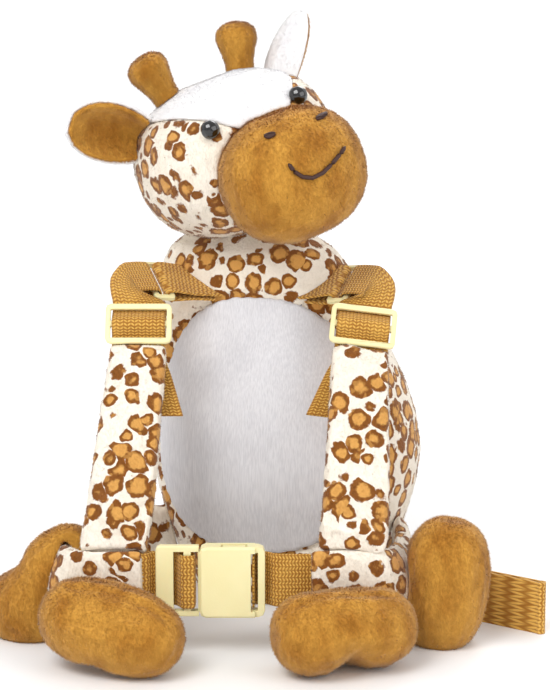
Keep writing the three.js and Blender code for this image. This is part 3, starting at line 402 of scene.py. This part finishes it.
def plush(name, colour, nap=0.55 * MM):
    """The cloth's own finish and that of its pile."""
    pair = []
    for form in ("cloth", "pile"):
        finish = Finish(
            f"{name}_{form}", 0.92, Sheen_Weight=0.25, Sheen_Roughness=0.5, Specular_IOR_Level=0.2)
        base = colour(finish)
        if form == "pile":
            tone = finish.step(finish.grain(0.9 * MM, 1.0), 0.25, 0.75)
            deeper = finish.node("HueSaturation", {"Color": base, "Value": 0.86}).outputs[0]
            base = finish.mix(tone, deeper, base)
        else:
            height = finish.grain(1.1 * MM, 3.0, finish.vector("MULTIPLY", finish.place(), (1, 1, 0.5)))
            finish.bump(height, nap)
        finish.colour(base)
        pair.append(finish.material)
    return pair


def webbing_finish(name="webbing", along=None, across=None):
    """Heavy webbing: chevrons along each rib, read from its own map in metres, or else from two ways.
    Its colour carries painted shade: darker down in the weave's valleys, lighter on the crests.
    """
    finish = Finish(name, 0.7, Sheen_Weight=0.15, Specular_IOR_Level=0.3)
    if along:
        place = finish.place()
        run, wide = (
            finish.node("VectorMath", {0: place, 1: way}, operation="DOT_PRODUCT").outputs["Value"]
            for way in (along, across)
        )
    else:
        map_ = finish.node("UVMap", {}, uv_map="weave").outputs[0]
        run, wide = finish.node("SeparateXYZ", {0: map_}).outputs[:2]
    rib = finish.math("PINGPONG", finish.math("DIVIDE", wide, RIB_PITCH), 1.0)
    lean = finish.math("MULTIPLY", rib, 0.5)
    stitch = finish.math("ADD", finish.math("DIVIDE", run, STITCH_PITCH), lean)
    wave = finish.math("SINE", finish.math("MULTIPLY", stitch, 2 * math.pi))
    wave = finish.math("MULTIPLY_ADD", wave, 0.5, 0.5)
    hump = finish.math("SINE", finish.math("MULTIPLY", rib, math.pi))
    height = finish.math("MULTIPLY", finish.math("POWER", finish.math("ABSOLUTE", hump), 0.6), wave)
    fine = finish.grain(0.35 * MM, 1.0)
    finish.bump(finish.math("MULTIPLY_ADD", fine, 0.25, height), 0.4 * MM)
    # Colour: broad patches that differ at random, plus painted shade from the weave's relief, darker in
    # the valleys between ribs and stitches and lighter on their crests.
    tone = finish.math("MULTIPLY_ADD", finish.grain(9 * MM), 0.4, finish.math("MULTIPLY", height, 0.75))
    finish.colour(finish.mix(finish.step(tone, 0.1, 0.85), srgb(158, 102, 26), srgb(228, 178, 84)))
    return finish.material


def plastic_finish():
    finish = Finish(
        "cream_plastic", 0.38, Specular_IOR_Level=0.45, Subsurface_Weight=0.08, Subsurface_Scale=2 * MM)
    cloud = finish.grain(16 * MM, 2.0)
    finish.colour(finish.mix(cloud, srgb(243, 234, 184), srgb(233, 222, 164)))
    finish.bump(finish.grain(0.7 * MM, 2.0), 0.05 * MM)
    return finish.material


def belly_finish():
    """Smooth brushed cloth with a fine upright grain."""
    finish = Finish("grey_cloth", 0.85, Sheen_Weight=0.2, Specular_IOR_Level=0.2)
    stretched = finish.vector("MULTIPLY", finish.place(), (1, 1, 0.08))
    strands = finish.grain(0.55 * MM, 2.0, stretched)
    cloud = finish.grain(30 * MM, 2.0)
    tone = finish.math("MULTIPLY_ADD", strands, 0.6, finish.math("MULTIPLY", cloud, 0.4))
    finish.colour(finish.mix(finish.step(tone, 0.3, 0.7), srgb(200, 199, 203), srgb(222, 221, 224)))
    finish.bump(strands, 0.15 * MM)
    return finish.material


def plain_finish(name, colour, roughness, size, depth, **sockets):
    finish = Finish(name, roughness, **sockets)
    shade = tuple(0.8 * c for c in colour[:3]) + (1,)
    finish.colour(finish.mix(finish.grain(size), colour, shade))
    finish.bump(finish.grain(size), depth)
    return finish.material


# Pile: joined small blades that stand on what is seen of a plush piece
PILE_LEAN = Vector((0.15, -0.1, -1))


def pile_on(obj, density, length, finish, barrier, seed):
    """Blades over the outside of obj, density to the square millimetre. barrier is all cloth: a
    root that has cloth close above it gets none."""
    random = np.random.default_rng(SEED + seed)
    mesh = obj.data
    mesh.calc_loop_triangles()
    corners = np.empty(len(mesh.loop_triangles) * 3, np.int32)
    mesh.loop_triangles.foreach_get("vertices", corners)
    corners = corners.reshape(-1, 3)
    points = points_of(mesh)
    normals = normals_of(mesh)
    a, b, c = (points[corners[:, i]] for i in range(3))
    area = np.linalg.norm(np.cross(b - a, c - a), axis=1) / 2
    count = int(area.sum() / MM ** 2 * density)
    pick = random.choice(len(area), count, p=area / area.sum())
    u, v = random.random((2, count))
    fold = u + v > 1
    u[fold], v[fold] = 1 - u[fold], 1 - v[fold]
    weights = np.stack([1 - u - v, u, v], axis=1)
    root = (points[corners[pick]] * weights[:, :, None]).sum(axis=1)
    normal = (normals[corners[pick]] * weights[:, :, None]).sum(axis=1)
    normal /= np.maximum(np.linalg.norm(normal, axis=1, keepdims=True), 1e-9)
    above = 0.3 * MM
    room = 4 * MM
    open_air = np.array([
        barrier.ray_cast(Vector(p), Vector(n), room)[0] is None
        for p, n in zip(root + normal * above, normal)
    ])
    root, normal = root[open_air], normal[open_air]
    count = len(root)
    lean = np.array(PILE_LEAN, float)
    nap = lean[None, :] - normal * (normal @ lean)[:, None]
    nap /= np.maximum(np.linalg.norm(nap, axis=1, keepdims=True), 0.3)
    way = 0.55 * normal + 0.75 * nap + random.normal(0, 0.28, (count, 3))
    way /= np.linalg.norm(way, axis=1, keepdims=True)
    side = np.cross(way, normal) + random.normal(0, 0.2, (count, 3))
    side /= np.maximum(np.linalg.norm(side, axis=1, keepdims=True), 1e-6)
    reach = length * random.uniform(0.6, 1.15, (count, 1))
    foot = root - normal * 0.1 * MM
    half = side * BLADE_WIDTH / 2
    blades = np.stack([foot - half, foot + half, foot + way * reach], axis=1)
    made = blade_mesh(f"{obj.name.replace('_cloth', '')}_pile", blades, normal)
    made.data.materials.append(finish)
    return made


def blade_mesh(name, blades, normal):
    """One mesh of single triangles, shaded as the cloth under them."""
    count = len(blades)
    mesh = bpy.data.meshes.new(name)
    mesh.vertices.add(count * 3)
    mesh.vertices.foreach_set("co", blades.ravel())
    mesh.loops.add(count * 3)
    mesh.loops.foreach_set("vertex_index", np.arange(count * 3, dtype=np.int32))
    mesh.polygons.add(count)
    mesh.polygons.foreach_set("loop_start", np.arange(0, count * 3, 3, dtype=np.int32))
    mesh.update(calc_edges=True)
    mesh.polygons.foreach_set("use_smooth", [True] * count)
    mesh.normals_split_custom_set_from_vertices(np.repeat(normal, 3, axis=0))
    made = bpy.data.objects.new(name, mesh)
    bpy.context.collection.objects.link(made)
    box_map(mesh, blades, normal)
    return made


def box_map(mesh, blades, normal):
    """A map for baking: six square fields, one for each way that a blade's cloth faces."""
    low = blades.reshape(-1, 3).min(axis=0)
    size = (blades.reshape(-1, 3).max(axis=0) - low).max()
    axis = np.abs(normal).argmax(axis=1)
    facing = normal[np.arange(len(axis)), axis] > 0
    across = np.where(axis == 0, 1, 0)
    up = np.where(axis == 2, 1, 2)
    row = np.arange(len(axis))[:, None]
    corner = np.arange(3)[None, :]
    u = (blades[row, corner, across[:, None]] - low[across][:, None]) / size
    v = (blades[row, corner, up[:, None]] - low[up][:, None]) / size
    u = (u * 0.96 + 0.02 + axis[:, None]) / 3
    v = (v * 0.96 + 0.02 + facing[:, None]) / 3
    layer = mesh.uv_layers.new(name="OFBake")
    layer.uv.foreach_set("vector", np.stack([u, v], axis=2).ravel())


# Webbing, along the line of a CAD strap
def strap_line(node):
    """The line of a strap and its direction across, read ring by ring from its CAD mesh."""
    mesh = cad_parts[node].data
    places = {}
    ids = []
    for vertex in mesh.vertices:
        key = tuple(round(c / (0.002 * MM)) for c in vertex.co)
        ids.append(places.setdefault(key, len(places)))
    points = np.zeros((len(places), 3))
    for vertex, i in zip(mesh.vertices, ids):
        points[i] = vertex.co
    linked = [set() for _ in places]
    for edge in mesh.edges:
        a, b = (ids[v] for v in edge.vertices)
        if a != b:
            linked[a].add(b)
            linked[b].add(a)
    ends = [
        i for i, near in enumerate(linked)
        if len(near) == 4 and all(len(linked[j] & near) >= 2 for j in near)
    ]
    start = min(ends, key=lambda i: tuple(points[i]))
    seen = {start}
    ring = set(linked[start])
    rings = []
    while len(ring) == 4:
        rings.append(sorted(ring))
        seen |= ring
        ring = set().union(*(linked[i] for i in ring)) - seen
    line, across = [], []
    for ring in rings:
        corner = points[ring]
        near = min(range(1, 4), key=lambda k: np.linalg.norm(corner[k] - corner[0]))
        others = [k for k in range(1, 4) if k != near]
        one = (corner[0] + corner[near]) / 2
        two = corner[others].mean(axis=0)
        way = (two - one) / np.linalg.norm(two - one)
        if across and np.dot(way, across[-1]) < 0:
            way = -way
        line.append(corner.mean(axis=0))
        across.append(way)
    return np.array(line), np.array(across)


def finer_line(line, across, step):
    """A smooth curve through a strap's line, with points about one step apart."""
    fine_line, fine_across = [], []
    last = len(line) - 1
    for i in range(last):
        p0, p1, p2, p3 = (line[min(max(i + k, 0), last)] for k in (-1, 0, 1, 2))
        count = max(2, int(np.linalg.norm(p2 - p1) / step))
        for j in range(count + (i == last - 1)):
            t = j / count
            tangent = 0.35
            h1 = 2 * t ** 3 - 3 * t ** 2 + 1
            h2 = t ** 3 - 2 * t ** 2 + t
            h3 = -2 * t ** 3 + 3 * t ** 2
            h4 = t ** 3 - t ** 2
            fine_line.append(h1 * p1 + h2 * tangent * (p2 - p0) + h3 * p2 + h4 * tangent * (p3 - p1))
            fine_across.append((1 - t) * across[i] + t * across[i + 1])
    fine_across = np.array(fine_across)
    return np.array(fine_line), fine_across / np.linalg.norm(fine_across, axis=1, keepdims=True)


def web_section():
    """Half the outline of the webbing: (across, height) with a hump to each rib, edges rounded."""
    ribs = round(WEB_WIDTH / RIB_PITCH)
    points = []
    for i in range(ribs * 3 + 1):
        at = i / (ribs * 3)
        hump = abs(math.sin(math.pi * at * ribs))
        edge = math.sqrt(max(0.0, 1 - abs(2 * at - 1) ** 12))
        points.append((at - 0.5, (0.4 + 0.1 * hump) * edge))
    return points


def web_mesh(name, line, across, finish):
    """Ribbed webbing with its own map: metres along and across."""
    along = np.gradient(line, axis=0)
    along /= np.linalg.norm(along, axis=1, keepdims=True)
    up = np.cross(along, across)
    up /= np.linalg.norm(up, axis=1, keepdims=True)
    half = web_section()
    section = half + [(a, -h) for a, h in reversed(half[1:-1])]
    count = len(section)
    points = []
    for at, way, normal in zip(line, across, up):
        for a, h in section:
            points.append(at + way * a * WEB_WIDTH + normal * h * WEB_THICK)
    run = np.concatenate([[0], np.cumsum(np.linalg.norm(np.diff(line, axis=0), axis=1))])
    faces, mapped = [], []
    for i in range(len(line) - 1):
        for j in range(count):
            k = (j + 1) % count
            faces.append((i * count + j, i * count + k, (i + 1) * count + k, (i + 1) * count + j))
            wide = [section[n][0] * WEB_WIDTH for n in (j, k, k, j)]
            mapped += list(zip((run[i], run[i], run[i + 1], run[i + 1]), wide))
    for i, order in ((0, -1), (len(line) - 1, 1)):
        faces.append(tuple(i * count + j for j in range(count))[::order])
        mapped += [(run[i], section[j][0] * WEB_WIDTH) for j in range(count)][::order]
    made = new_object(name, points, faces)
    layer = made.data.uv_layers.new(name="weave")
    layer.uv.foreach_set("vector", np.array(mapped).ravel())
    made.data.materials.append(finish)
    return made, float(run[-1])


# Stitches on the muzzle, placed by where the photograph shows them
def photo_ray(across, down):
    """From the camera towards a pixel of the photograph."""
    turn = camera.matrix_world.to_3x3()
    way = turn @ Vector((across - IMAGE[0] / 2, IMAGE[1] / 2 - down, -FOCAL))
    return camera.matrix_world.translation, way.normalized()


def cast(tree, pixel):
    place, normal, _, _ = tree.ray_cast(*photo_ray(*pixel))
    return place, normal


def thread(points, radius, name, finish, sides=6):
    """Tubes through rows of points, all in one mesh."""
    verts, faces = [], []
    for row in points:
        base = len(verts)
        for i, at in enumerate(row):
            along = (row[min(i + 1, len(row) - 1)] - row[max(i - 1, 0)]).normalized()
            side = along.orthogonal().normalized()
            other = along.cross(side)
            thick = radius * (0.35 if i in (0, len(row) - 1) else 1)
            for k in range(sides):
                angle = 2 * math.pi * k / sides
                verts.append(at + thick * (side * math.cos(angle) + other * math.sin(angle)))
        for i in range(len(row) - 1):
            for k in range(sides):
                n = (k + 1) % sides
                a = base + i * sides
                faces.append((a + k, a + n, a + sides + n, a + sides + k))
        faces.append(tuple(base + k for k in range(sides))[::-1])
        faces.append(tuple(base + (len(row) - 1) * sides + k for k in range(sides)))
    made = new_object(name, verts, faces)
    made.data.materials.append(finish)
    return made


# The smile and the two nostrils, placed by pixels of the photograph. A nostril: middle, half its
# width and height in pixels, and its slope in degrees.
SMILE = [(288, 164), (294, 172), (302, 177), (312, 178), (322, 173), (332, 163), (340, 153), (345, 145)]
NOSTRILS = [((270, 136), 5.5, 3.2, -12), ((321, 117), 5.5, 3.2, -24)]
STITCH_LIFT = 0.9 * MM
SMILE_RADIUS = 1.0 * MM
SATIN_RADIUS = 0.42 * MM
SATIN_ROWS = 5


def smile_row(tree):
    row = []
    for (x0, y0), (x1, y1) in zip(SMILE, SMILE[1:]):
        for i in range(4):
            place, normal = cast(tree, (x0 + (x1 - x0) * i / 4, y0 + (y1 - y0) * i / 4))
            if place:
                row.append(place + normal * STITCH_LIFT)
    return row


def nostril_rows(tree):
    """Upright rows side by side, each bulging in its middle."""
    rows = []
    for (x, y), half_wide, half_tall, lean in NOSTRILS:
        slope = math.tan(math.radians(lean))
        for i in range(-SATIN_ROWS, SATIN_ROWS + 1):
            t = i / (SATIN_ROWS + 0.5)
            across = t * half_wide
            reach = half_tall * math.sqrt(1 - t * t)
            row = []
            for j in range(-3, 4):
                place, normal = cast(tree, (x + across, y + slope * across + reach * j / 3))
                if place:
                    row.append(place + normal * STITCH_LIFT * (1.15 - 0.6 * (j / 3) ** 2))
            if len(row) > 2:
                rows.append(row)
    return rows


def add_face_stitches():
    """The smile as one thread and each nostril as rows of satin stitches."""
    skin = soft["muzzle"].data
    faces = [tuple(face.vertices) for face in skin.polygons]
    tree = BVHTree.FromPolygons([tuple(p) for p in points_of(skin)], faces)
    declare(thread([smile_row(tree)], SMILE_RADIUS, "smile_stitch", dark_thread, sides=8))
    declare(thread(nostril_rows(tree), SATIN_RADIUS, "nostril_stitches", dark_thread))


# Dressing the CAD nodes
def declare(made, node=None):
    """Puts a piece on the root, and hides the CAD node it stands for, if one is given."""
    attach(made, "root")
    if node:
        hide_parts(node)


def paint(node, finish):
    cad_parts[node].data.materials.clear()
    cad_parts[node].data.materials.append(finish)


def round_edges(node):
    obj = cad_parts[node]
    weld = obj.modifiers.new("weld", "WELD")
    weld.merge_threshold = 0.01 * MM
    bevel = obj.modifiers.new("bevel", "BEVEL")
    bevel.width = PLASTIC_ROUND
    bevel.segments = 2
    bevel.limit_method = "ANGLE"
    bevel.angle_limit = math.radians(50)
    bevel.use_clamp_overlap = True


def sink_belly_seam(obj):
    out, angle = belly_seam(points_of(obj.data))
    relief = groove(out, GROOVE_DEPTH, GROOVE_WIDTH)
    relief += puckers(out, angle * BELLY_SEAM_RADIUS, PUCKER_HEIGHT, PUCKER_PITCH, PUCKER_REACH)
    raise_by(obj, np.where(np.abs(out) < SEAM_RANGE, relief, 0))


def dress_soft(node, look):
    cloth = CLOTHS[look["cloth"]]
    if "puff" in look:
        made = puffed(node, look["puff"] * MM, look.get("held"))
    else:
        made = remeshed(node, look["voxel"] * MM, look["smooth"])
    if node in ("body", "belly_panel"):
        sink_belly_seam(made)
    made.data.materials.append(cloth["finish"][0])
    declare(made, node)
    return made


def dress_web(node):
    line, across = finer_line(*strap_line(node), WEB_STEP)
    made, length = web_mesh(f"{node}_web", line, across, webbing)
    declare(made, node)


def all_cloth():
    """One tree of all the soft pieces, for what lies close above a root of the pile."""
    points, faces = [], []
    for made in soft.values():
        base = len(points)
        points += [tuple(p) for p in points_of(made.data)]
        faces += [tuple(v + base for v in face.vertices) for face in made.data.polygons]
    return BVHTree.FromPolygons(points, faces)


camera = add_camera()
add_lights()
add_floor()

spotted = plush("spotted_plush", spotted_colour)
# Brown and white plush carry painted nap shade: patches painted lighter and darker in their colour.
brown = plush("brown_plush", nap_shaded_colour(srgb(208, 152, 62), srgb(172, 114, 36), 11 * MM))
white = plush("white_plush", nap_shaded_colour(srgb(244, 243, 243), srgb(234, 233, 235), 14 * MM), 0.2 * MM)
grey_cloth = belly_finish()
webbing = webbing_finish()
plastic = plastic_finish()
dark_thread = plain_finish("dark_thread", srgb(62, 28, 16), 0.5, 0.4 * MM, 0.1 * MM)
eye_black = plain_finish(
    "eye_black", srgb(9, 8, 9), 0.08, 3 * MM, 0.01 * MM, Coat_Weight=0.6, Coat_Roughness=0.03)

# Each cloth: the finish of the cloth and of its pile, its slot, and the pile's length in millimetres
CLOTHS = {
    "spotted": dict(finish=spotted, slot="spotted_plush", long=1.15),
    "brown": dict(finish=brown, slot="brown_plush", long=1.5),
    "white": dict(finish=white, slot="white_plush", long=0.8),
    "grey": dict(finish=(grey_cloth, None), slot="grey_cloth"),
    "webbing": dict(finish=(webbing, None), slot="webbing"),
}

# Each soft piece. voxel and smooth: it is remeshed and rounded. puff: its voxel, where cloth simulation
# shapes it, held where held says. Both in millimetres. pile: blades to the square millimetre.
SOFT = {
    "body": dict(cloth="spotted", voxel=2.1, smooth=6, pile=1.8, fill=0.9),
    "head": dict(cloth="spotted", voxel=1.5, smooth=6, pile=2.6, fill=0.9),
    "arm_left": dict(cloth="spotted", puff=2.4, held=side_seams, pile=2.8, fill=0.6),
    "arm_right": dict(cloth="spotted", puff=2.4, held=side_seams, pile=2.8, fill=0.6),
    "belt_sleeve_left": dict(cloth="spotted", puff=2.4, pile=2.6, fill=0.4),
    "belt_sleeve_right": dict(cloth="spotted", puff=2.4, pile=2.6, fill=0.4),
    "pocket_panel": dict(cloth="spotted", voxel=1.6, smooth=4, pile=1.8, fill=0.3),
    "muzzle": dict(cloth="brown", voxel=1.2, smooth=5, pile=4.2, fill=0.9),
    "hoof_front_left": dict(cloth="brown", puff=2.4, pile=4.2, fill=0.8),
    "hoof_front_right": dict(cloth="brown", puff=2.4, pile=4.2, fill=0.8),
    "hoof_side_left": dict(cloth="brown", puff=2.4, pile=4.2, fill=0.8),
    "hoof_side_right": dict(cloth="brown", puff=2.4, pile=4.2, fill=0.8),
    "ossicone_left": dict(cloth="brown", voxel=0.8, smooth=5, pile=6, fill=0.8),
    "ossicone_right": dict(cloth="brown", voxel=0.8, smooth=5, pile=6, fill=0.8),
    "ear_left_inner": dict(cloth="brown", voxel=0.7, smooth=4, pile=5, fill=0.15),
    "ear_right_inner": dict(cloth="brown", voxel=0.7, smooth=4, pile=5, fill=0.15),
    "ear_left_back": dict(cloth="white", voxel=0.7, smooth=4, pile=4, fill=0.15),
    "ear_right_back": dict(cloth="white", voxel=0.7, smooth=4, pile=4, fill=0.15),
    "crown_panel": dict(cloth="white", voxel=1.0, smooth=10, pile=3, fill=0.9),
    "belly_panel": dict(cloth="grey", voxel=1.3, smooth=4, fill=0.9),
    "pocket_zip": dict(cloth="webbing", voxel=1.0, smooth=3, fill=0.1),
}

# Each web and what it lies on
WEBS = {
    "strap_left": "slider_left",
    "strap_right": "slider_right",
    "belt_webbing_left": "buckle_male",
    "belt_webbing_right": "buckle_female",
}

# Webs that stay as the CAD draws them: the ways along and across which their weave is laid
SEWN_WEBS = {
    "tether": ((0.7, 0.7, 0), (0, 0, 1)),
    "ring_tab_left": ((0.5, 0.4, -0.77), (0, -0.92, -0.38)),
    "ring_tab_right": ((-0.5, 0.4, -0.77), (0, -0.92, -0.38)),
}

soft = {node: dress_soft(node, look) for node, look in SOFT.items()}
for node, carrier in WEBS.items():
    dress_web(node)

barrier = all_cloth()
for seed, (node, look) in enumerate(SOFT.items()):
    if "pile" in look:
        cloth = CLOTHS[look["cloth"]]
        pile = pile_on(soft[node], look["pile"], cloth["long"] * MM, cloth["finish"][1], barrier, seed)
        declare(pile)

for node in ("slider_left", "slider_right", "ring_left", "ring_right", "buckle_male", "buckle_female"):
    paint(node, plastic)
    round_edges(node)
for node, (along, across) in SEWN_WEBS.items():
    paint(node, webbing_finish(f"webbing_{node}", along, across))
for node in ("eye_left", "eye_right"):
    made = remeshed(node, EYE_VOXEL, 8)
    made.data.materials.append(eye_black)
    declare(made, node)
add_face_stitches()
